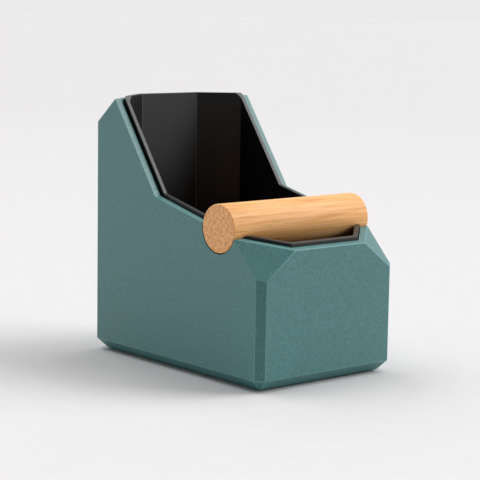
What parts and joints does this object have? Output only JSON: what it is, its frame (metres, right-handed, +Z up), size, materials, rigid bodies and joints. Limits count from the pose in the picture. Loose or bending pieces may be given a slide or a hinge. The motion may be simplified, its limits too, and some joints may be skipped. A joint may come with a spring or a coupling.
{
  "type": "espresso knock box",
  "caption": "Low-fronted faceted knock box with a raised back, a lift-out inner bin and a round wooden bar lying in notches across its mouth.",
  "frame": {"origin": "middle of the footprint, on the surface that the feet stand on", "axes": "+Z up; -Y is the low front and +Y the tall back; +X is the box's right-hand side seen from the front; the bar lies along X"},
  "size_m": [0.112, 0.17, 0.1693],
  "materials": {
    "shell": "matte speckled blue-green plastic with fine layer lines",
    "liner": "satin black plastic with fine layer lines",
    "wood": "lightly oiled pale hardwood, grain along the bar",
    "rubber": "matte black",
    "steel": "bright",
    "brass": "plain"
  },
  "bodies": {
    "outer_body": {"outer_body": "shell", "bar_saddle_left": "rubber", "bar_saddle_right": "rubber", "foot_front_left": "rubber", "foot_screw_front_left": "steel", "foot_insert_front_left": "brass", "bin_bumper_front_left": "rubber", "foot_front_right": "rubber", "foot_screw_front_right": "steel", "foot_insert_front_right": "brass", "bin_bumper_front_right": "rubber", "foot_back_left": "rubber", "foot_screw_back_left": "steel", "foot_insert_back_left": "brass", "bin_bumper_back_left": "rubber", "foot_back_right": "rubber", "foot_screw_back_right": "steel", "foot_insert_back_right": "brass", "bin_bumper_back_right": "rubber"},
    "bin": {"inner_bin": "liner"},
    "bar": {"knock_bar": "wood"}
  },
  "joints": [
    {"name": "bin_lift", "type": "slide", "parent": "outer_body", "child": "bin", "axis": [0, 0, 1], "range_m": [0, 0.165]},
    {"name": "bar_lift", "type": "slide", "parent": "bin", "child": "bar", "axis": [0, 0, 1], "range_m": [0, 0.1]}
  ]
}
